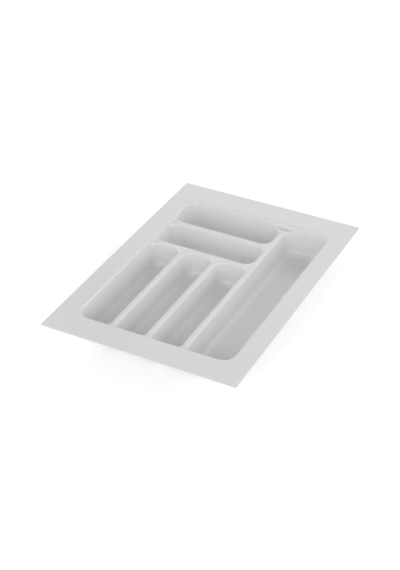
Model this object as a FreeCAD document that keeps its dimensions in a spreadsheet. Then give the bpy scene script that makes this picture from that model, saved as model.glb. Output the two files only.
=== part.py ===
import FreeCAD
import Part
import Sketcher
import math
import os

# A cutlery tray for a kitchen drawer: one thermoformed sheet with a wide flat flange around six wells.
# Frame: +X right, +Y to the back, +Z up, origin under the middle of the tray on the plane it stands on.
doc = FreeCAD.newDocument("cutlery_tray")

# Driving dimensions in millimetres, the draft in degrees
SIZES = (
    ("flange_width", 340, "whole tray, left to right"),
    ("flange_length", 490, "whole tray, front to back"),
    ("tray_height", 52, "underside of the wells to the top of the flange"),
    ("sheet_gauge", 1.6, "thickness of the formed sheet"),
    ("side_margin", 35, "flange, from its left or right edge to the mouth of the basin"),
    ("end_margin", 50, "flange, from its front or back edge to the mouth of the basin"),
    ("divider_drop", 7.5, "top of the flange down to the crown of a divider"),
    ("divider_width", 10, "divider, between the two wells' mouths at its crown"),
    ("narrow_width", 53.3, "narrow well, left to right at its mouth"),
    ("cross_length", 59.6, "cross well, front to back at its mouth"),
    ("crown_step", 0.3, "ledge where the wall of the basin meets the wall of a well"),
    ("wall_draft", 8, "lean of every wall, so that the sheet lifts off its mould"),
    ("flat_break", 10, "angle at which a rounding runs into the flat above it"),
    ("mouth_radius", 5, "rounding from the flange into the basin"),
    ("crown_radius", 4.5, "rounding from the crown of a divider into a well"),
    ("floor_radius", 13, "rounding from a wall into the floor of a well"),
    ("basin_corner", 20, "corners of the basin, seen from above"),
    ("well_corner", 16, "corners of a well beside a divider, seen from above"),
    ("land_corner", 21, "wider corners that leave a land at the back of the long divider"),
    ("corner_flat", 0.5, "least straight run of a wall beside a corner"),
    ("seam_margin", 1, "flat of the flange that stays with the wells, beyond the rounding"),
    ("label_length", 22, "oval label, left to right"),
    ("label_width", 6, "oval label, front to back"),
    ("label_gauge", 0.3, "thickness of the label"),
    ("label_setback", 3.8, "middle of the label, from the back wall at the crown"),
)

sizes = doc.addObject("Spreadsheet::Sheet", "Sizes")
for row, (alias, value, meaning) in enumerate(SIZES, 1):
    sizes.set(f"A{row}", meaning)
    sizes.set(f"B{row}", str(value))
    sizes.setAlias(f"B{row}", alias)
doc.recompute()

# Places that several pieces share, as expressions of the sheet
LEAN = "tan(Sizes.wall_draft)"
LIP_ANGLE = "(90 deg - Sizes.wall_draft * 1 deg)"
MOUTH_X = "(Sizes.flange_width / 2 - Sizes.side_margin)"
MOUTH_Y = "(Sizes.flange_length / 2 - Sizes.end_margin)"
CROWN_X = f"({MOUTH_X} - Sizes.divider_drop * {LEAN} - Sizes.crown_step)"
CROWN_Y = f"({MOUTH_Y} - Sizes.divider_drop * {LEAN} - Sizes.crown_step)"
CROWN_LEVEL = "(Sizes.tray_height - Sizes.divider_drop)"
FLANGE_UNDERSIDE = "(Sizes.tray_height - Sizes.sheet_gauge)"
WELL_DEPTH = f"({CROWN_LEVEL} - Sizes.sheet_gauge)"
RIM_LAND = f"(Sizes.mouth_radius * tan({LIP_ANGLE} / 2) + Sizes.seam_margin)"
SEAM_X = f"({MOUTH_X} + {RIM_LAND})"
SEAM_Y = f"({MOUTH_Y} + {RIM_LAND})"
HALF_DIVIDER = "(Sizes.divider_width / 2)"
NARROW_PITCH = "(Sizes.narrow_width + Sizes.divider_width)"
CROSS_PITCH = "(Sizes.cross_length + Sizes.divider_width)"

# The wells beside the wide one: a row from left to right, and behind it a pair from back to front
NARROW_WELLS = ("narrow_well_left", "narrow_well_middle", "narrow_well_right")
CROSS_WELLS = ("cross_well_back", "cross_well_front")

SIDES = ("left", "right", "front", "back")
CORNERS = ("front_right", "back_right", "back_left", "front_left")

# Stations along the arc of a rounding, from the wall to the flat
LIP_SHARES = (1, 0.75, 0.5, 0.25, 0)

INSIDE = "0"
UNDERSIDE = "Sizes.sheet_gauge"


def place(piece, x, y, z):
    """Binds the place of a piece to the sheet."""
    for axis, expression in zip("xyz", (x, y, z)):
        piece.setExpression(f"Placement.Base.{axis}", expression)


def bound_box(name, low, high):
    """A box between two corners, each given as three expressions."""
    box = doc.addObject("Part::Box", name)
    for side, start, end in zip(("Length", "Width", "Height"), low, high):
        box.setExpression(side, f"({end}) - ({start})")
    place(box, *low)
    return box


def outline(body, name, level, reach, corner_radii):
    """A rounded rectangle sketched at a level of the body, with its own radius at each corner."""
    sketch = body.newObject("Sketcher::SketchObject", name)
    ground = [plane for plane in body.Origin.OriginFeatures if plane.Role == "XY_Plane"]
    sketch.AttachmentSupport = (ground[0], [""])
    sketch.MapMode = "FlatFace"
    sketch.setExpression("AttachmentOffset.Base.z", level)
    span = {side: float(body.evalExpression(reach[side])) for side in SIDES}
    round_off = {corner: float(body.evalExpression(corner_radii[corner])) for corner in CORNERS}

    arcs = []
    for quarter, corner in enumerate(CORNERS):
        end_side, hand_side = corner.split("_")
        toward_x = 1 if hand_side == "right" else -1
        toward_y = 1 if end_side == "back" else -1
        radius = round_off[corner]
        centre = FreeCAD.Vector(toward_x * (span[hand_side] - radius), toward_y * (span[end_side] - radius))
        circle = Part.Circle(centre, FreeCAD.Vector(0, 0, 1), radius)
        arcs.append(Part.ArcOfCircle(circle, math.radians(90 * quarter - 90), math.radians(90 * quarter)))
    loop = []
    for before, arc in zip(arcs[-1:] + arcs[:-1], arcs):
        loop.append(Part.LineSegment(before.EndPoint, arc.StartPoint))
        loop.append(arc)
    sketch.addGeometry(loop, False)

    start, end, origin = 1, 2, -1
    edges = range(len(loop))
    joints = zip(edges, (*edges[1:], edges[0]))
    front, right, back, left = edges[::2]
    rules = [Sketcher.Constraint("Tangent", edge, end, follower, start) for edge, follower in joints]
    rules += [Sketcher.Constraint("Horizontal", edge) for edge in (front, back)]
    rules += [Sketcher.Constraint("Vertical", edge) for edge in (left, right)]
    sketch.addConstraint(rules)
    measures = {
        "left": Sketcher.Constraint("DistanceX", left, start, origin, start, span["left"]),
        "right": Sketcher.Constraint("DistanceX", origin, start, right, start, span["right"]),
        "front": Sketcher.Constraint("DistanceY", front, start, origin, start, span["front"]),
        "back": Sketcher.Constraint("DistanceY", origin, start, back, start, span["back"]),
    }
    for corner, edge in zip(CORNERS, edges[1::2]):
        measures[corner] = Sketcher.Constraint("Radius", edge, round_off[corner])
    for title, measure in measures.items():
        measure.Name = title
    sketch.addConstraint(list(measures.values()))
    for title, size in {**reach, **corner_radii}.items():
        sketch.setExpression(f"Constraints.{title}", size)
    return sketch


def dish(name, middle, reach, corner_radii, plain_sides, lip, depth, face, floor_radius=None):
    """The space inside a drafted dish, or with its sheet added, as a solid below the dish's rim.

    middle is the rim's centre, and reach runs from it to each wall's line in the rim's plane.
    plain_sides have no rounding here, because their wall goes on upwards.
    face is the sheet between the inside of the dish and the solid's surface.
    """
    body = doc.addObject("PartDesign::Body", name)
    place(body, *middle)
    outset = f"{face} / cos(Sizes.wall_draft)"
    bend = f"({lip} - {face})"
    centre_level = f"{lip} * cos(Sizes.flat_break)"
    centre_out = f"({lip} / cos(Sizes.wall_draft) - {centre_level} * {LEAN})"
    last_angle = f"acos(({centre_level} - {face}) / {bend})"
    lip_outset = f"({outset} - ({centre_level} - {bend} * cos({LIP_ANGLE})) * {LEAN})"

    def section(title, level, plain, rounded):
        grown = {side: plain if side in plain_sides else rounded for side in SIDES}
        radii = {}
        for corner in CORNERS:
            radii[corner] = f"{corner_radii[corner]} + {face}"
            if not plain_sides.intersection(corner.split("_")):
                radii[corner] += f" + {rounded} - {lip_outset}"
        spans = {side: f"{reach[side]} + {grown[side]}" for side in SIDES}
        return outline(body, f"{name}_{title}", f"0 - {level}", spans, radii)

    lips = []
    for station, share in enumerate(LIP_SHARES):
        angle = f"({LIP_ANGLE} * {share} + {last_angle} * (1 - {share}))"
        level = f"({centre_level} - {bend} * cos({angle}))"
        plain = f"({outset} - {level} * {LEAN})"
        rounded = f"({centre_out} - {bend} * sin({angle}))"
        lips.append(section(f"lip_{station}", level, plain, rounded))
    level = f"({depth} + {face})"
    foot = f"({outset} - {level} * {LEAN})"
    floor_spans = {side: f"{reach[side]} + {foot}" for side in SIDES}
    floor_radii = {corner: f"{corner_radii[corner]} + {face}" for corner in CORNERS}
    floor = outline(body, f"{name}_floor", f"0 - {level}", floor_spans, floor_radii)

    wall = body.newObject("PartDesign::AdditiveLoft", f"{name}_wall")
    wall.Profile = lips[0]
    wall.Sections = [(floor, [""])]
    wall.Ruled = True
    if floor_radius:
        doc.recompute()
        half_way = wall.Shape.BoundBox.Center.z
        edges = enumerate(wall.Shape.Edges, 1)
        foot_edges = [f"Edge{number}" for number, edge in edges if edge.BoundBox.ZMax < half_way]
        rounding = body.newObject("PartDesign::Fillet", f"{name}_floor_rounding")
        rounding.Base = (wall, foot_edges)
        rounding.setExpression("Radius", f"{floor_radius} + {face}")
    flare = body.newObject("PartDesign::AdditiveLoft", f"{name}_flare")
    flare.Profile = lips[0]
    flare.Sections = [(lip_sketch, [""]) for lip_sketch in lips[1:]]
    return body


def well_bounds():
    """Each well's mouth at the crown of the dividers: its four edges, and its sides on the basin's wall."""
    block_right = f"(0 - {CROWN_X} + {NARROW_PITCH} * {len(NARROW_WELLS)} - Sizes.divider_width)"
    block_back = f"({CROWN_Y} - {CROSS_PITCH} * {len(CROSS_WELLS)})"
    bounds = {}
    for column, name in enumerate(NARROW_WELLS):
        left = f"(0 - {CROWN_X} + {NARROW_PITCH} * {column})"
        outer = {"front", "left"} if column == 0 else {"front"}
        bounds[name] = (left, f"({left} + Sizes.narrow_width)", f"(0 - {CROWN_Y})", block_back, outer)
    for row, name in enumerate(CROSS_WELLS):
        back = f"({CROWN_Y} - {CROSS_PITCH} * {row})"
        outer = {"back", "left"} if row == 0 else {"left"}
        bounds[name] = (f"(0 - {CROWN_X})", block_right, f"({back} - Sizes.cross_length)", back, outer)
    wide_left = f"({block_right} + Sizes.divider_width)"
    bounds["wide_well"] = (wide_left, CROWN_X, f"(0 - {CROWN_Y})", CROWN_Y, {"right", "front", "back"})
    return bounds


def well_corners(name, bounds):
    """The plan radius of each corner of a well, as far as its floor has room for it."""
    left, right, front, back, outer = bounds
    lands = {"cross_well_back": "back_right", "wide_well": "back_left"}
    room = f"(min({right} - {left}; {back} - {front}) / 2 - {WELL_DEPTH} * {LEAN} - Sizes.corner_flat)"
    radii = {}
    for corner in CORNERS:
        size = "well_corner"
        if outer.issuperset(corner.split("_")):
            size = "basin_corner"
        if lands.get(name) == corner:
            size = "land_corner"
        radii[corner] = f"min(Sizes.{size}; {room})"
    return radii


def basin(bounds, face):
    """The basin that all wells open into, from the flange down to the crown of the dividers."""
    middle = ("0", "0", "Sizes.tray_height")
    reach = {"left": MOUTH_X, "right": MOUTH_X, "front": MOUTH_Y, "back": MOUTH_Y}
    radii = {}
    for well_name in bounds:
        for corner, radius in well_corners(well_name, bounds[well_name]).items():
            if bounds[well_name][-1].issuperset(corner.split("_")):
                radii[corner] = radius
    name = "basin_inside" if face == INSIDE else "basin_underside"
    return dish(name, middle, reach, radii, set(), "Sizes.mouth_radius", "Sizes.divider_drop", face)


def well(name, bounds, face):
    """One well below the crown of the dividers."""
    left, right, front, back, outer = bounds
    middle = (f"({left} + {right}) / 2", f"({front} + {back}) / 2", CROWN_LEVEL)
    half_x = f"({right} - {left}) / 2"
    half_y = f"({back} - {front}) / 2"
    reach = {"left": half_x, "right": half_x, "front": half_y, "back": half_y}
    title = f"{name}_inside" if face == INSIDE else f"{name}_underside"
    radii = well_corners(name, bounds)
    tightest = f"min({'; '.join(radii[corner] for corner in CORNERS)})"
    floor_radius = f"min(Sizes.floor_radius; {tightest} - Sizes.corner_flat)"
    return dish(title, middle, reach, radii, outer, "Sizes.crown_radius", WELL_DEPTH, face, floor_radius)


def well_cell(name, bounds):
    """The block of space that one well's share of the sheet lies in, out to the seams around it."""
    left, right, front, back, outer = bounds
    low_x = f"(0 - {SEAM_X})" if "left" in outer else f"({left} - {HALF_DIVIDER})"
    high_x = SEAM_X if "right" in outer else f"({right} + {HALF_DIVIDER})"
    low_y = f"(0 - {SEAM_Y})" if "front" in outer else f"({front} - {HALF_DIVIDER})"
    high_y = SEAM_Y if "back" in outer else f"({back} + {HALF_DIVIDER})"
    return bound_box(f"{name}_cell", (low_x, low_y, "0"), (high_x, high_y, "Sizes.tray_height"))


def formed_wells():
    """The drawn part of the sheet, as the six wells that meet along the dividers' crowns."""
    bounds = well_bounds()
    low = (f"0 - {SEAM_X}", f"0 - {SEAM_Y}", FLANGE_UNDERSIDE)
    rim = bound_box("rim_plate", low, (SEAM_X, SEAM_Y, "Sizes.tray_height"))
    basin_underside = basin(bounds, UNDERSIDE)
    basin_inside = basin(bounds, INSIDE)
    pieces = []
    for name in bounds:
        solid_parts = [rim, basin_underside, well(name, bounds[name], UNDERSIDE)]
        hollow_parts = [basin_inside, well(name, bounds[name], INSIDE)]
        solid = doc.addObject("Part::MultiFuse", f"{name}_solid")
        solid.Shapes = solid_parts
        hollow = doc.addObject("Part::MultiFuse", f"{name}_hollow")
        hollow.Shapes = hollow_parts
        sheet = doc.addObject("Part::Cut", f"{name}_sheet")
        sheet.Base = solid
        sheet.Tool = hollow
        piece = doc.addObject("Part::Common", name)
        piece.Base = sheet
        piece.Tool = well_cell(name, bounds[name])
        pieces.append(piece)
    return pieces


def flange_strips():
    """The flat flange around the wells, as the four strips that are trimmed to the drawer."""
    edge_x = "(Sizes.flange_width / 2)"
    edge_y = "(Sizes.flange_length / 2)"
    spans = {
        "flange_left": (f"0 - {edge_x}", f"0 - {edge_y}", f"0 - {SEAM_X}", edge_y),
        "flange_right": (SEAM_X, f"0 - {edge_y}", edge_x, edge_y),
        "flange_front": (f"0 - {SEAM_X}", f"0 - {edge_y}", SEAM_X, f"0 - {SEAM_Y}"),
        "flange_back": (f"0 - {SEAM_X}", SEAM_Y, SEAM_X, edge_y),
    }
    strips = []
    for name, (left, front, right, back) in spans.items():
        low = (left, front, FLANGE_UNDERSIDE)
        strips.append(bound_box(name, low, (right, back, "Sizes.tray_height")))
    return strips


def blank_label():
    """The bare oval label on the land at the back end of the long divider."""
    oval = doc.addObject("Part::Ellipse", "label_outline")
    oval.setExpression("MajorRadius", "Sizes.label_length / 2")
    oval.setExpression("MinorRadius", "Sizes.label_width / 2")
    divider_middle = f"{NARROW_PITCH} * {len(NARROW_WELLS)} - {HALF_DIVIDER} - {CROWN_X}"
    place(oval, divider_middle, f"{CROWN_Y} - Sizes.label_setback", CROWN_LEVEL)
    label = doc.addObject("Part::Extrusion", "blank_label")
    label.Base = oval
    label.DirMode = "Custom"
    label.Dir = FreeCAD.Vector(0, 0, 1)
    label.Solid = True
    label.setExpression("LengthFwd", "Sizes.label_gauge")
    return label


nodes = formed_wells() + flange_strips() + [blank_label()]
doc.recompute()

for item in doc.Objects:
    if {"Invalid", "Error"}.intersection(item.State):
        raise RuntimeError(f"{item.Label} failed to build")
for node in nodes:
    if node.Shape.isNull() or not node.Shape.isValid() or len(node.Shape.Solids) != 1:
        raise RuntimeError(f"{node.Label} is not one sound solid")

os.makedirs("parts", exist_ok=True)
for node in nodes:
    node.Shape.exportStep(f"parts/{node.Label}.step")
    print(node.Label, round(node.Shape.Volume), "cubic millimetres")
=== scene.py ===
# %% [markdown]
# # A cutlery tray from one sheet of plastic
# A drawer insert like this one is thermoformed: a flat sheet is heated until it is soft, drawn down over
# a mould with six hollows in it, cooled and trimmed. Nothing is screwed or glued together, so the model
# is one thin shell with a rounded bend wherever the sheet changes direction, and a small label. The
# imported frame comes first, because it says how large everything is and where it lies. All lengths are in
# metres, +Z is up and the tray's long side runs along Y.

# %% Load the frame
import math

import bmesh
import bpy
from mathutils import Matrix, Vector


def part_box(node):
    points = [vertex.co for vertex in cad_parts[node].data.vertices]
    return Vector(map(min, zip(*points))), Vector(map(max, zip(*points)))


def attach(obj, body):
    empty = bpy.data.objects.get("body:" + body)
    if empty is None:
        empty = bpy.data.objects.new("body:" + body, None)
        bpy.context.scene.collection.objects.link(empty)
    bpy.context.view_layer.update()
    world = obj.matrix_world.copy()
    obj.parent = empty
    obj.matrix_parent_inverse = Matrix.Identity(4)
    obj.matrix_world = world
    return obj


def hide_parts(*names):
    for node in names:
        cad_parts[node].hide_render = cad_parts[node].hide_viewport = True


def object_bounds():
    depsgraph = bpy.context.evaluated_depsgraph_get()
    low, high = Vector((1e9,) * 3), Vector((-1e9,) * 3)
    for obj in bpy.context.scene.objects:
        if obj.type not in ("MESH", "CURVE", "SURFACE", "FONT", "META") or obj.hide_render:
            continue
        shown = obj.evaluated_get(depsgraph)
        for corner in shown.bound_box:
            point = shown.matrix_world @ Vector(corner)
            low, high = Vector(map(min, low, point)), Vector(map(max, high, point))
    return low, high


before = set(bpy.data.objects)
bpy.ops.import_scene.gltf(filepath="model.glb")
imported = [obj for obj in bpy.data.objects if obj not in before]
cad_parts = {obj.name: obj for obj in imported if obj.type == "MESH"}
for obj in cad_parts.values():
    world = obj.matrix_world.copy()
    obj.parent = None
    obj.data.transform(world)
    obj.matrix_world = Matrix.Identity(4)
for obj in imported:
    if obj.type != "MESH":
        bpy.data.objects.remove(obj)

cad_box = [list(corner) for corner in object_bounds()]
print("The frame has", len(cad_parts), "nodes between", cad_box[0], "and", cad_box[1])

# %% [markdown]
# ## Sizes
# Whatever the frame knows is read from it: the outer size, the sheet's thickness, the height of the
# dividers and the line that each divider runs along. The bends and corners aren't in any box, so they are
# named here. A mould needs draft, which means that every wall leans outwards a little so that the cooled
# sheet lifts off.

# %% Sizes from the frame
WELLS = (
    "narrow_well_left", "narrow_well_middle", "narrow_well_right",
    "cross_well_front", "cross_well_back", "wide_well",
)
STRIPS = ("flange_left", "flange_right", "flange_front", "flange_back")
tray_low, tray_high = (Vector(corner) for corner in cad_box)
strip_low, strip_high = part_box("flange_left")
label_low, label_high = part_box("blank_label")
SHEET = strip_high.z - strip_low.z
FLANGE_LEVEL = tray_high.z
CROWN_LEVEL = label_low.z
FLOOR_LEVEL = tray_low.z + SHEET
print("Sheet", SHEET, "flange", FLANGE_LEVEL, "crown", CROWN_LEVEL, "floor", FLOOR_LEVEL)

# %% Sizes of the bends and corners
MM = 0.001
DRAFT = math.radians(8)
LEAN = math.tan(DRAFT)
TURN = math.pi / 2 - DRAFT
SIDE_MARGIN = 35 * MM
END_MARGIN = 50 * MM
DIVIDER = 10 * MM
MOUTH_BEND = 5 * MM
CROWN_BEND = 4.5 * MM
FLOOR_BEND = 13 * MM
CROOK_BEND = 2 * MM
BASIN_CORNER = 20 * MM
WELL_CORNER = 16 * MM
LAND_CORNER = 21 * MM
DROP = FLANGE_LEVEL - CROWN_LEVEL
WELL_DEPTH = CROWN_LEVEL - FLOOR_LEVEL
print("Dividers stand", DROP, "below the flange, and the wells are", WELL_DEPTH, "deep")

# %% [markdown]
# ## The plan of the tray
# Seen from above, the tray is a basin, which is a rounded rectangle, with six wells in its floor. A
# well's side either lies on a divider, where the sheet rolls over a crown, or on the basin's own wall,
# which simply goes on down. The frame's boxes meet along the dividers' middles, so a side that lies
# inside the outermost box is one on a divider.

# %% Lines of the basin and the wells
SIDES = {"left": -1, "right": 1, "front": -1, "back": 1}
CORNERS = [(end, hand) for end in ("front", "back") for hand in ("left", "right")]
LANDS = {("cross_well_back", ("back", "right")), ("wide_well", ("back", "left"))}


def box_lines(low, high):
    """The four sides of a box, seen from above."""
    return {"left": low.x, "right": high.x, "front": low.y, "back": high.y}


outer_lines = box_lines(tray_low, tray_high)
margins = {"left": SIDE_MARGIN, "right": SIDE_MARGIN, "front": END_MARGIN, "back": END_MARGIN}
basin_lines = {side: outer_lines[side] - way * margins[side] for side, way in SIDES.items()}
seam_lines = {
    side: max(way * box_lines(*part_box(node))[side] for node in WELLS) * way for side, way in SIDES.items()
}

SEAM_TOLERANCE = MM
plans = {}
for node in WELLS:
    lines = box_lines(*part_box(node))
    divided = {side for side in SIDES if abs(lines[side] - seam_lines[side]) > SEAM_TOLERANCE}
    for side, way in SIDES.items():
        if side in divided:
            lines[side] -= way * DIVIDER / 2
        else:
            lines[side] = basin_lines[side] - way * DROP * LEAN
    radii = {}
    for corner in CORNERS:
        radii[corner] = WELL_CORNER if divided.intersection(corner) else BASIN_CORNER
        if (node, corner) in LANDS:
            radii[corner] = LAND_CORNER
    plans[node] = (lines, divided, radii)
    print(node, "lies against dividers on its", sorted(divided))

# %% [markdown]
# ## Bends
# A bend is an arc that touches a flat and a wall. Two kinds are needed: the sheet rolls over an edge at
# the flange and at every crown, and it turns out of a wall into a floor. Each function walks along its
# arc and gives, step by step, how far out from the wall's line it is, and how deep. The depth is counted
# from the flat above.

# %% Profiles of the bends
def edge_bend(radius, steps):
    """Outset and depth along a rolled edge, from the flat down to the wall."""
    reach = radius * math.tan(TURN / 2)
    arc = [TURN * step / steps for step in range(steps + 1)]
    return [(reach - radius * math.sin(turn), radius * (1 - math.cos(turn))) for turn in arc]


def foot_bend(radius, depth, steps):
    """Outset and depth along the hollow between a wall and the flat at its foot, from the wall down."""
    middle_depth = depth - radius
    middle = -radius / math.cos(DRAFT) - middle_depth * LEAN
    arc = [DRAFT + TURN * step / steps for step in range(steps + 1)]
    return [(middle + radius * math.cos(turn), middle_depth + radius * math.sin(turn)) for turn in arc]


EDGE_STEPS = 10
FOOT_STEPS = 12
CROOK_STEPS = 6
print("A crown's edge starts", edge_bend(CROWN_BEND, EDGE_STEPS)[0][0], "outside its well's line")

# %% [markdown]
# ## Drawing a dish
# A rounded rectangle is a square face whose corners are bevelled as vertices: with a profile of 0.5 the
# bevel is a true arc. The mould then draws the face down. Every step extrudes it and moves each corner's
# arc with the circle that it lies on, which keeps the walls straight between the corners. A boolean cut
# would give the same shape, but with stray triangles that show as creases in a glossy sheet.

# %% Corners of a rounded rectangle
def corner_circles(lines, outsets, radii):
    """The circle in each corner of a rounded rectangle, as its centre and radius."""
    circles = {}
    for end, hand in CORNERS:
        radius = radii[end, hand]
        x = lines[hand] + SIDES[hand] * (outsets[hand] - radius)
        y = lines[end] + SIDES[end] * (outsets[end] - radius)
        circles[end, hand] = (x, y, radius)
    return circles


def corner_of(point, middle):
    """The corner whose quarter of the outline a point lies in."""
    return ("back" if point.y > middle.y else "front", "right" if point.x > middle.x else "left")


flush = dict.fromkeys(SIDES, 0)
basin_circles = corner_circles(basin_lines, flush, dict.fromkeys(CORNERS, BASIN_CORNER))
print("The basin's corner circles:", basin_circles)

# %% A flat face with round corners
ARC_STEPS = 18


def rounded_face(bm, level, circles):
    """A flat face with four round corners."""
    edges = {}
    for (end, hand), (x, y, radius) in circles.items():
        edges[hand] = x + SIDES[hand] * radius
        edges[end] = y + SIDES[end] * radius
    square = bmesh.ops.create_grid(bm, x_segments=1, y_segments=1, size=0.5)["verts"]
    size = (edges["right"] - edges["left"], edges["back"] - edges["front"], 1)
    middle = Vector(((edges["right"] + edges["left"]) / 2, (edges["back"] + edges["front"]) / 2, level))
    bmesh.ops.scale(bm, vec=size, verts=square)
    bmesh.ops.translate(bm, vec=middle, verts=square)
    for vert in square:
        radius = circles[corner_of(vert.co, middle)][-1]
        bmesh.ops.bevel(
            bm, geom=[vert], offset=radius, offset_type="OFFSET", segments=ARC_STEPS,
            profile=0.5, affect="VERTICES", material=-1,
        )
    return bm.faces[:][0]


trial_bm = bmesh.new()
trial_face = rounded_face(trial_bm, FLANGE_LEVEL, basin_circles)
print("The basin's outline has", len(trial_face.verts), "points")
trial_bm.free()

# %% Drawing a face down
def draw_down(bm, face, upper, lower):
    """Extrudes a face to the next station, with each corner's arc on its new circle."""
    face = bmesh.ops.extrude_discrete_faces(bm, faces=[face])["faces"][0]
    middle = face.calc_center_bounds()
    quarters = {corner: [] for corner in CORNERS}
    for vert in face.verts:
        quarters[corner_of(vert.co, middle)].append(vert)
    for corner, verts in quarters.items():
        old_x, old_y, old_radius = upper[1][corner]
        new_x, new_y, new_radius = lower[1][corner]
        growth = new_radius / old_radius
        home = Matrix.Translation((-old_x, -old_y, -upper[0]))
        size = Matrix.Diagonal((growth, growth, 1, 1))
        target = Matrix.Translation((new_x, new_y, lower[0]))
        bmesh.ops.transform(bm, matrix=target @ size @ home, verts=verts)
    return face


def dish(stations):
    """A hollow drawn through its stations, each a level with its corner circles, and its lowest face."""
    bm = bmesh.new()
    face = rounded_face(bm, *stations[0])
    for upper, lower in zip(stations, stations[1:]):
        face = draw_down(bm, face, upper, lower)
    return bm, face


trial_bm, _ = dish([(FLANGE_LEVEL, basin_circles), (CROWN_LEVEL, basin_circles)])
print("Drawn down once, it has", len(trial_bm.faces), "faces")
trial_bm.free()

# %% [markdown]
# ## Two skins
# A sheet has a top and an underside, and both are made the same way: the underside is the same tray
# again, one gauge further down. There every wall stands further out, a hollow bend has a larger radius
# and a rolled edge a smaller one, so that the sheet is equally thick all round. A Solidify modifier would
# do this in one step, but it moves each point along its own normal and folds the underside over itself
# where a divider runs out in a point.

# %% Move a plan down to the other side of the sheet
def moved_out(lines, under):
    """The lines of a skin that lies some way under the top."""
    return {side: line + SIDES[side] * under * math.tan(TURN / 2) for side, line in lines.items()}


def wider(radius, under):
    """A corner's radius on a skin that lies some way under the top."""
    return radius + under / math.cos(DRAFT)


print("On the underside a line lies", moved_out({"right": 0}, SHEET)["right"], "further out")

# %% [markdown]
# ## The basin and its flange
# The basin is the shallow part above the dividers. Its rim rolls out into the flange, which is made by
# extruding the rim's edge outwards and merging each quarter of it onto the flange's corner. The lowest
# rows of the wall are only straight for now: they leave room for the small crook where a divider runs
# into the wall.

# %% How the basin is drawn
def draw_basin(under):
    """The basin's wall, from the flange down to the crowns."""
    lines = moved_out(basin_lines, under)
    corner = wider(BASIN_CORNER, under)
    bend = edge_bend(MOUTH_BEND - under, EDGE_STEPS)
    stations = []
    for outset, depth in bend:
        radii = dict.fromkeys(CORNERS, corner + outset - bend[-1][0])
        circles = corner_circles(lines, dict.fromkeys(SIDES, outset), radii)
        stations.append((FLANGE_LEVEL - under - depth, circles))
    for _, depth in foot_bend(CROOK_BEND, DROP, CROOK_STEPS):
        circles = corner_circles(lines, dict.fromkeys(SIDES, -depth * LEAN), dict.fromkeys(CORNERS, corner))
        stations.append((FLANGE_LEVEL - under - depth, circles))
    bm, lowest = dish(stations)
    bmesh.ops.delete(bm, geom=[lowest], context="FACES_ONLY")
    return bm


trial_bm = draw_basin(0)
print("The basin's wall has", len(trial_bm.faces), "faces")

# %% How the rim rolls out into the flange
RIM_TOLERANCE = MM / 10
tray_middle = (tray_low + tray_high) / 2


def roll_flange(bm):
    """Extrudes the basin's rim out to the flange's square corners."""
    level = max(vert.co.z for vert in bm.verts)
    rim = [edge for edge in bm.edges if edge.is_boundary]
    rim = [edge for edge in rim if min(vert.co.z for vert in edge.verts) > level - RIM_TOLERANCE]
    grown = bmesh.ops.extrude_edge_only(bm, edges=rim)["geom"]
    outer = [item for item in grown if isinstance(item, bmesh.types.BMVert)]
    for end, hand in CORNERS:
        quarter = [vert for vert in outer if vert.is_valid]
        quarter = [vert for vert in quarter if corner_of(vert.co, tray_middle) == (end, hand)]
        corner = Vector((outer_lines[hand], outer_lines[end], level))
        bmesh.ops.pointmerge(bm, verts=quarter, merge_co=corner)


roll_flange(trial_bm)
print("With the flange there are", len(trial_bm.faces))
trial_bm.free()

# %% [markdown]
# ## Where a divider runs into the wall
# The well's round corners leave the wall at a tangent, so a divider's crown widens towards the wall and
# ends in two thin points. Between those points the wall doesn't meet the crown in a sharp line: the sheet
# turns with a small radius, the crook, that fades out towards the points. The wall is cut into short
# lengths there, and the lowest rows are moved in along the arc. The crook keeps its radius on the
# underside, where the sheet is a little thicker for it.

# %% Where the dividers end
def divider_ends(under):
    """The two points of each divider's end, with the corner's radius there, for each side of the basin."""
    ends = {side: [] for side in SIDES}
    reach = edge_bend(CROWN_BEND - under, EDGE_STEPS)[0][0]
    for lines, divided, radii in plans.values():
        outsets = {side: reach if side in divided else 0 for side in SIDES}
        radii = {corner: wider(radius, under) for corner, radius in radii.items()}
        for corner, (x, y, radius) in corner_circles(moved_out(lines, under), outsets, radii).items():
            plain = [side for side in corner if side not in divided]
            if len(plain) == 1:
                ends[plain[0]].append((y if plain[0] in ("left", "right") else x, radius))
    return {side: sorted(spots) for side, spots in ends.items()}


print("Divider ends on each side:", {side: len(spots) // 2 for side, spots in divider_ends(0).items()})

# %% How the wall bends into a crook
END_CUTS = 16
CUT_TOLERANCE = MM / 1000


def crook_inset(depth):
    """How far a crook stands in from the wall's line at a depth below the flange."""
    rise = max(0, depth - DROP + CROOK_BEND) / CROOK_BEND
    middle = -CROOK_BEND / math.cos(DRAFT) - (DROP - CROOK_BEND) * LEAN
    return -depth * LEAN - middle - CROOK_BEND * math.sqrt(max(0, 1 - rise**2))


def fade(share):
    """Rises smoothly from 0 to 1."""
    share = min(1, max(0, share))
    return share**2 * (3 - 2 * share)


def cut_across(bm, parts, place, normal):
    """Cuts some of a mesh with a plane, and returns those parts with the new ones."""
    made = bmesh.ops.bisect_plane(
        bm, geom=list(parts), dist=CUT_TOLERANCE, plane_co=place, plane_no=normal,
    )
    return {part for part in [*parts, *made["geom"], *made["geom_cut"]] if part.is_valid}


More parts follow.
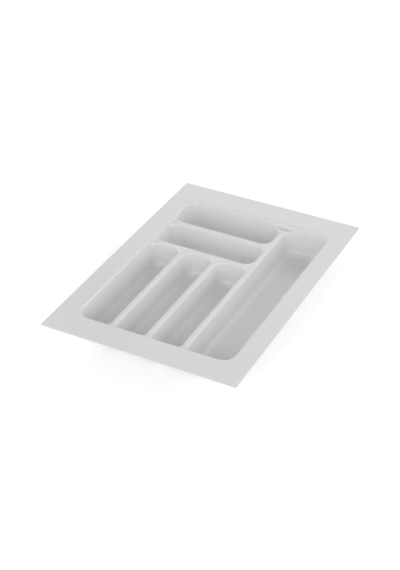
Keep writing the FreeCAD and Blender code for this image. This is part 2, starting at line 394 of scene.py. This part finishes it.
def bend_crooks(bm, under):
    """Bends the wall in at the ends of the dividers."""
    start = foot_bend(CROOK_BEND, DROP, CROOK_STEPS)[0][1]
    level = max(vert.co.z for vert in bm.verts)
    for side, spots in divider_ends(under).items():
        along, across = (1, 0) if side in ("left", "right") else (0, 1)
        normal = Vector((across, along, 0))
        wall = basin_lines[side]
        reach = BASIN_CORNER / 2
        near = [face for face in bm.faces if abs(face.calc_center_median()[across] - wall) < reach]
        parts = {*near}
        parts.update(edge for face in near for edge in face.edges)
        parts.update(vert for face in near for vert in face.verts)
        for (first, first_radius), (last, last_radius) in zip(spots[::2], spots[1::2]):
            for cut in range(END_CUTS + 1):
                parts = cut_across(bm, parts, normal * (first + (last - first) * cut / END_CUTS), normal)
            for vert in [part for part in parts if isinstance(part, bmesh.types.BMVert)]:
                depth = level - vert.co.z
                if depth > start and first < vert.co[along] < last:
                    rise = fade((vert.co[along] - first) / first_radius)
                    taper = rise * fade((last - vert.co[along]) / last_radius)
                    vert.co[across] -= SIDES[side] * crook_inset(depth) * taper


print("A crook stands in by", crook_inset(DROP), "at a crown's level")

# %% [markdown]
# ## The wells
# A well is drawn like the basin. On a divider its sides start out on the crown and roll over the edge,
# and on the basin's wall they start right below it. The floor's bend has a large radius, which keeps
# crumbs out of the corners and the sheet from thinning there.

# %% How a well is drawn
def well_stations(lines, divided, corner_radii, under):
    """The levels and corner circles that a well is drawn through."""
    lines = moved_out(lines, under)
    corner_radii = {corner: wider(radius, under) for corner, radius in corner_radii.items()}
    stations = []
    edge = edge_bend(CROWN_BEND - under, EDGE_STEPS)
    for outset, depth in edge:
        outsets = {side: outset if side in divided else -depth * LEAN for side in SIDES}
        radii = dict(corner_radii)
        for corner in CORNERS:
            if divided.issuperset(corner):
                radii[corner] += outset - edge[-1][0]
        stations.append((CROWN_LEVEL - under - depth, corner_circles(lines, outsets, radii)))
    foot = foot_bend(FLOOR_BEND + under, WELL_DEPTH, FOOT_STEPS)
    for outset, depth in foot:
        radii = {corner: radius + outset - foot[0][0] for corner, radius in corner_radii.items()}
        circles = corner_circles(lines, dict.fromkeys(SIDES, outset), radii)
        stations.append((CROWN_LEVEL - under - depth, circles))
    return stations


def add_mesh(bm, other):
    """Adds one bmesh to another, by way of a mesh, and frees it."""
    mesh = bpy.data.meshes.new("step")
    other.to_mesh(mesh)
    other.free()
    bm.from_mesh(mesh)
    bpy.data.meshes.remove(mesh)


print("A well is drawn through", len(well_stations(*plans["wide_well"], 0)), "stations")

# %% How the wells join the basin
WELD = MM / 100


def close_crowns(bm, level):
    """Welds the wells to the wall and fills the flat crowns between them."""
    bmesh.ops.remove_doubles(bm, verts=bm.verts[:], dist=WELD)
    gap = [edge for edge in bm.edges if edge.is_boundary]
    gap = [edge for edge in gap if all(abs(vert.co.z - level) < WELD for vert in edge.verts)]
    return bmesh.ops.holes_fill(bm, edges=gap, sides=0)["faces"]


def draw_skin(under):
    """One side of the whole sheet."""
    bm = draw_basin(under)
    bend_crooks(bm, under)
    roll_flange(bm)
    for plan in plans.values():
        add_mesh(bm, dish(well_stations(*plan, under))[0])
    crowns = close_crowns(bm, CROWN_LEVEL - under)
    open_edges = [edge for edge in bm.edges if edge.is_boundary]
    print("A skin", under, "under the top:", len(crowns), "crown faces,", len(open_edges), "open edges")
    return bm


# %% [markdown]
# ## The sheet
# The two skins are bridged along the flange's edge, where a knife trimmed the sheet, and the normals are
# turned outwards once the shell is closed. That edge is the one place with a real corner, so it gets a
# small bevel that catches a line of light. A Weighted Normal modifier makes the large flats look flat
# right up to their bends.

# %% Make the sheet
TRIM_BEVEL = 0.3 * MM
BEVEL_STEPS = 2
TRIM_ANGLE = math.radians(60)
CREASE_ANGLE = math.radians(35)
bm = draw_skin(0)
add_mesh(bm, draw_skin(SHEET))
bmesh.ops.bridge_loops(bm, edges=[edge for edge in bm.edges if edge.is_boundary])
bmesh.ops.recalc_face_normals(bm, faces=bm.faces[:])
trim = []
for edge in bm.edges:
    middle = (edge.verts[0].co + edge.verts[1].co) / 2
    places = {"left": middle.x, "right": middle.x, "front": middle.y, "back": middle.y}
    distance = min(abs(places[side] - line) for side, line in outer_lines.items())
    if distance < WELD and edge.calc_face_angle(0) > TRIM_ANGLE:
        trim.append(edge)
bmesh.ops.bevel(
    bm, geom=trim, offset=TRIM_BEVEL, offset_type="OFFSET", segments=BEVEL_STEPS,
    profile=0.5, affect="EDGES", material=-1,
)
sheet_mesh = bpy.data.meshes.new("formed_sheet")
bm.to_mesh(sheet_mesh)
print("The sheet has", len(bm.faces), "faces and", sum(edge.is_boundary for edge in bm.edges), "open edges")
print("It holds", bm.calc_volume() / MM**3, "cubic millimetres of plastic")
bm.free()

# %% Put the sheet in the scene
sheet_mesh.shade_smooth()
sheet_mesh.set_sharp_from_angle(angle=CREASE_ANGLE)
formed_sheet = bpy.data.objects.new("formed_sheet", sheet_mesh)
bpy.context.scene.collection.objects.link(formed_sheet)
flats = formed_sheet.modifiers.new("flat_faces", "WEIGHTED_NORMAL")
flats.keep_sharp = True
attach(formed_sheet, "root")
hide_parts(*WELLS, *STRIPS)
print(formed_sheet.name, "stands for", len(WELLS) + len(STRIPS), "nodes")

# %% [markdown]
# ## The label
# On the land at the back end of the long divider lies a small oval label. It stays bare. A circle is
# stretched to the oval, its face is inset and pushed in a little to leave a raised border, and the outer
# edge is bevelled as a stamped film's edge is. The inset face is scaled by itself, because an even inset
# would fold over at the oval's narrow tips.

# %% Make the label
LABEL_STEPS = 96
LABEL_BEVEL = 0.08 * MM
label_size = label_high - label_low
label_foot = (label_low + label_high) / 2 + Vector((0, 0, -label_size.z / 2))
bm = bmesh.new()
oval = bmesh.ops.create_circle(bm, cap_ends=True, segments=LABEL_STEPS, radius=0.5)["verts"]
bmesh.ops.scale(bm, vec=(label_size.x, label_size.y, 1), verts=oval)
bmesh.ops.translate(bm, vec=label_foot, verts=oval)
raised = bmesh.ops.extrude_face_region(bm, geom=bm.faces[:])["geom"]
top = [item for item in raised if isinstance(item, bmesh.types.BMFace)]
bmesh.ops.translate(bm, vec=(0, 0, label_size.z), verts=top[0].verts[:])
bmesh.ops.bevel(
    bm, geom=top[0].edges[:], offset=LABEL_BEVEL, offset_type="OFFSET", segments=BEVEL_STEPS,
    profile=0.5, affect="EDGES", material=-1,
)
print("The label measures", [round(size / MM, 2) for size in label_size], "mm")

# %% Sink the label's face
LABEL_BORDER = 0.6 * MM
LABEL_RECESS = 0.1 * MM
top = max(bm.faces, key=lambda face: face.calc_center_median().z)
label_middle = top.calc_center_bounds()
for border, drop in ((LABEL_BORDER, 0), (LABEL_RECESS, LABEL_RECESS)):
    width, length = (2 * abs(max((v.co - label_middle)[axis] for v in top.verts)) for axis in (0, 1))
    bmesh.ops.inset_region(bm, faces=[top], thickness=0, depth=0)
    smaller = (1 - 2 * border / width, 1 - 2 * border / length, 1)
    bmesh.ops.scale(bm, vec=smaller, verts=top.verts[:], space=Matrix.Translation(-label_middle))
    bmesh.ops.translate(bm, vec=(0, 0, -drop), verts=top.verts[:])
bmesh.ops.recalc_face_normals(bm, faces=bm.faces[:])
print("The label has", len(bm.faces), "faces and a border", LABEL_BORDER / MM, "mm wide")

# %% Put the label in the scene
label_mesh = bpy.data.meshes.new("oval_label")
bm.to_mesh(label_mesh)
bm.free()
label_mesh.shade_smooth()
label_mesh.set_sharp_from_angle(angle=CREASE_ANGLE)
oval_label = bpy.data.objects.new("oval_label", label_mesh)
bpy.context.scene.collection.objects.link(oval_label)
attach(oval_label, "root")
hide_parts("blank_label")
print(oval_label.name, "lies on the land at", [round(place / MM, 2) for place in label_foot], "mm")

# %% [markdown]
# ## Materials
# Colours are written as sRGB hex values, as a colour picker shows them, and turned to linear light for
# the shader. One function adds a node: its settings, and its inputs as plain values or as another node's
# output.

# %% Helpers for materials
def linear(hex_colour):
    """A linear RGBA colour from an sRGB hex value."""
    shares = [int(hex_colour[place:place + 2], 16) / 255 for place in (1, 3, 5)]
    return (*(s / 12.92 if s <= 0.04045 else ((s + 0.055) / 1.055) ** 2.4 for s in shares), 1)


def add_node(owner, kind, inputs=None, **settings):
    """Adds one shader node to a material or a world, with its settings and links."""
    node = owner.node_tree.nodes.new(kind)
    for name, value in settings.items():
        setattr(node, name, value)
    for socket, value in (inputs or {}).items():
        if isinstance(value, bpy.types.NodeSocket):
            owner.node_tree.links.new(value, node.inputs[socket])
        else:
            node.inputs[socket].default_value = value
    return node


def new_material(name):
    """An empty material with its output node and the object's own coordinates."""
    material = bpy.data.materials.new(name)
    material.use_nodes = True
    material.node_tree.nodes.clear()
    output = add_node(material, "ShaderNodeOutputMaterial")
    place = add_node(material, "ShaderNodeTexCoord").outputs["Object"]
    return material, output, place


MID_GREY = "#808080"
print(MID_GREY, "is", round(linear(MID_GREY)[0], 3), "in linear light")

# %% [markdown]
# ### Thermoformed polystyrene
# High-impact polystyrene is the usual sheet for such trays: dyed right through in a pale grey white, and
# glossy, because the side that shows never touches the mould. The eye sees three things: a clean but
# slightly soft gloss, a faint orange peel from the rolled sheet, and long shallow waves where the sheet
# cooled unevenly.

# %% Polystyrene of the tray
POLYSTYRENE_IOR = 1.59
SHADE_SIZE = 90 * MM
PALE_GREY, PALER_GREY = "#dedede", "#e2e2e2"
GLOSS_SIZE = 35 * MM
GLOSSIEST, DULLEST = 0.2, 0.28
WAVE_SIZE, WAVE_HEIGHT = 55 * MM, 0.12 * MM
# The real orange peel is about a third of this size, which is too fine to show here.
PEEL_SIZE, PEEL_HEIGHT = 3 * MM, 0.004 * MM
# A colour mix has its two colours in these sockets, and its result in this output.
COLOUR_A, COLOUR_B, MIXED = 6, 7, 2

polystyrene, output, place = new_material("thermoformed_polystyrene")
shade = add_node(polystyrene, "ShaderNodeTexNoise", {"Vector": place, "Scale": 1 / SHADE_SIZE, "Detail": 2})
tint = add_node(
    polystyrene, "ShaderNodeMix",
    {"Factor": shade.outputs["Fac"], COLOUR_A: linear(PALE_GREY), COLOUR_B: linear(PALER_GREY)},
    data_type="RGBA",
)
gloss = add_node(polystyrene, "ShaderNodeTexNoise", {"Vector": place, "Scale": 1 / GLOSS_SIZE, "Detail": 3})
roughness = add_node(
    polystyrene, "ShaderNodeMapRange",
    {"Value": gloss.outputs["Fac"], "To Min": GLOSSIEST, "To Max": DULLEST},
)
wave = add_node(polystyrene, "ShaderNodeTexNoise", {"Vector": place, "Scale": 1 / WAVE_SIZE, "Detail": 1})
waves = add_node(
    polystyrene, "ShaderNodeBump", {"Height": wave.outputs["Fac"], "Distance": WAVE_HEIGHT, "Strength": 1},
)
peel = add_node(polystyrene, "ShaderNodeTexNoise", {"Vector": place, "Scale": 1 / PEEL_SIZE, "Detail": 1})
relief = add_node(
    polystyrene, "ShaderNodeBump",
    {
        "Height": peel.outputs["Fac"], "Distance": PEEL_HEIGHT, "Strength": 1,
        "Normal": waves.outputs["Normal"],
    },
)
plastic = add_node(
    polystyrene, "ShaderNodeBsdfPrincipled",
    {
        "Base Color": tint.outputs[MIXED], "Roughness": roughness.outputs["Result"],
        "IOR": POLYSTYRENE_IOR, "Normal": relief.outputs["Normal"],
    },
)
polystyrene.node_tree.links.new(plastic.outputs["BSDF"], output.inputs["Surface"])
formed_sheet.data.materials.clear()
formed_sheet.data.materials.append(polystyrene)
print("The sheet is", polystyrene.name)

# %% [markdown]
# ### Printed film
# The label is a thin polyester film with a matt grey print. It reflects less than the sheet around it, so
# it reads as a slightly darker oval.

# %% Film of the label
FILM_IOR = 1.57
FILM_ROUGHNESS = 0.55
FILM_GREY, FILM_PALER_GREY = "#cecece", "#d4d4d4"
# A printed film's real grain is far finer, and is drawn this coarse so that it shows.
FILM_GRAIN = 0.8 * MM
film, output, place = new_material("matt_polyester_film")
grain = add_node(film, "ShaderNodeTexNoise", {"Vector": place, "Scale": 1 / FILM_GRAIN, "Detail": 2})
tint = add_node(
    film, "ShaderNodeMix",
    {"Factor": grain.outputs["Fac"], COLOUR_A: linear(FILM_GREY), COLOUR_B: linear(FILM_PALER_GREY)},
    data_type="RGBA",
)
print_coat = add_node(
    film, "ShaderNodeBsdfPrincipled",
    {"Base Color": tint.outputs[MIXED], "Roughness": FILM_ROUGHNESS, "IOR": FILM_IOR},
)
film.node_tree.links.new(print_coat.outputs["BSDF"], output.inputs["Surface"])
oval_label.data.materials.append(film)
print("The label is", film.name)

# %% [markdown]
# ## Floor and backdrop
# The tray stands on a plain pale floor, and the photograph's background is white. The floor is therefore
# brighter for the rays that show it, straight from the camera or through a reflection, than for the rays
# that light the tray. It glows least near the tray, where most of its brightness comes from the lamps, so
# that the tray's soft shadow stays on it, and most far out, where the lamps hardly reach. The world
# around it is a plain white fill light.

# %% Floor
FLOOR_HALF = 20
floor_bm = bmesh.new()
bmesh.ops.create_grid(floor_bm, x_segments=1, y_segments=1, size=FLOOR_HALF)
floor_mesh = bpy.data.meshes.new("floor")
floor_bm.to_mesh(floor_mesh)
floor_bm.free()
floor = bpy.data.objects.new("floor", floor_mesh)
bpy.context.scene.collection.objects.link(floor)
print("The floor is", 2 * FLOOR_HALF, "m wide")

# %% Paper of the floor
PAPER_WHITE, FULL_WHITE = "#e8e8e8", "#ffffff"
FAR = 3
NEAR_GLOW, FAR_GLOW = 0.38, 0.62


def showing_rays(owner):
    """1 for rays from the camera, from a gloss or through glass, and 0 for rays that only carry light."""
    path = add_node(owner, "ShaderNodeLightPath")
    gloss = add_node(
        owner, "ShaderNodeMath",
        {0: path.outputs["Is Camera Ray"], 1: path.outputs["Is Glossy Ray"]}, operation="MAXIMUM",
    )
    either = add_node(
        owner, "ShaderNodeMath",
        {0: gloss.outputs["Value"], 1: path.outputs["Is Transmission Ray"]}, operation="MAXIMUM",
    )
    return either.outputs["Value"]


paper, output, place = new_material("white_paper_floor")
lit = add_node(paper, "ShaderNodeBsdfDiffuse", {"Color": linear(PAPER_WHITE)})
distance = add_node(paper, "ShaderNodeVectorMath", {0: place}, operation="LENGTH")
strength = add_node(
    paper, "ShaderNodeMapRange",
    {"Value": distance.outputs["Value"], "From Max": FAR, "To Min": NEAR_GLOW, "To Max": FAR_GLOW},
)
glow = add_node(
    paper, "ShaderNodeEmission", {"Color": linear(FULL_WHITE), "Strength": strength.outputs["Result"]},
)
bright = add_node(paper, "ShaderNodeAddShader", {0: lit.outputs["BSDF"], 1: glow.outputs["Emission"]})
shown = add_node(
    paper, "ShaderNodeMixShader",
    {"Fac": showing_rays(paper), 1: lit.outputs["BSDF"], 2: bright.outputs["Shader"]},
)
paper.node_tree.links.new(shown.outputs["Shader"], output.inputs["Surface"])
floor.data.materials.append(paper)
print("The floor is", paper.name)

# %% World
FILL_LIGHT = 0.32
world = bpy.data.worlds.new("light_tent")
bpy.context.scene.world = world
world.use_nodes = True
world.node_tree.nodes["Background"].inputs["Color"].default_value = linear(FULL_WHITE)
world.node_tree.nodes["Background"].inputs["Strength"].default_value = FILL_LIGHT
print("The world gives a fill light of", FILL_LIGHT)

# %% [markdown]
# ## Lamps
# In the photograph the flange is light, the floors of the wells are darker and no wall is in a hard
# shadow, so the light comes from large panels low on all four sides, as in a light tent, and hardly from
# above. The small bright spots in the wells' corners are mirror images of brighter lamps. Two lamps give
# these, and they are kept large and soft, because a small strong one would be mirrored as a white patch
# by the flat flange in other views. A lamp's place is given as its bearing, clockwise from the tray's
# back, and its height, both in degrees.

# %% How a lamp is placed
LAMP_DISTANCE = 2


def add_lamp(name, bearing, height, width, tall, watts):
    """A rectangular soft lamp that faces the tray."""
    bearing, height = math.radians(bearing), math.radians(height)
    level = math.cos(height)
    way = Vector((math.sin(bearing) * level, math.cos(bearing) * level, math.sin(height)))
    lamp_data = bpy.data.lights.new(name, "AREA")
    lamp_data.shape = "RECTANGLE"
    lamp_data.size = width
    lamp_data.size_y = tall
    lamp_data.energy = watts
    lamp = bpy.data.objects.new(name, lamp_data)
    facing = way.to_track_quat("Z", "Y").to_matrix().to_4x4()
    lamp.matrix_world = Matrix.Translation(way * LAMP_DISTANCE) @ facing
    lamp.visible_camera = False
    bpy.context.scene.collection.objects.link(lamp)


print("Lamps stand", LAMP_DISTANCE, "m from the tray's middle")

# %% Panels and lamps
add_lamp("front_panel", bearing=172, height=23, width=3.4, tall=1.7, watts=22)
add_lamp("right_panel", bearing=76, height=22, width=2.8, tall=1.6, watts=20)
add_lamp("left_panel", bearing=268, height=22, width=2.6, tall=1.6, watts=9)
add_lamp("back_panel", bearing=2, height=22, width=2.6, tall=1.6, watts=12)
add_lamp("front_lamp", bearing=172, height=36, width=0.8, tall=0.8, watts=6)
add_lamp("left_lamp", bearing=298, height=32, width=0.7, tall=0.7, watts=5)
print("There are", len(bpy.data.lights), "lamps")

# %% [markdown]
# ## Camera
# The photograph's flange has four straight edges, and their meeting points give away the camera: it
# stands in front of the tray and to its right, looks down at about 36 degrees, and is about two metres
# away with a long lens.

# %% Camera
CAMERA_PLACE = Vector((787.73, -1546.87, 1241.51)) * MM
CAMERA_AIM = Vector((2.74, -36.16, 52.0)) * MM
CAMERA_ROLL = math.radians(-0.2)
CAMERA_LENS = 80.49
CAMERA_SENSOR = 36
camera_data = bpy.data.cameras.new("camera")
camera_data.lens = CAMERA_LENS
camera_data.sensor_width = CAMERA_SENSOR
camera = bpy.data.objects.new("camera", camera_data)
bpy.context.scene.collection.objects.link(camera)
aim = (CAMERA_AIM - CAMERA_PLACE).to_track_quat("-Z", "Y").to_matrix().to_4x4()
camera.matrix_world = Matrix.Translation(CAMERA_PLACE) @ aim @ Matrix.Rotation(CAMERA_ROLL, 4, "Z")
bpy.context.scene.camera = camera
print("The camera is", round((CAMERA_AIM - CAMERA_PLACE).length, 3), "m away")

# %% Finish
scene = bpy.context.scene
scene.view_settings.view_transform = "Standard"
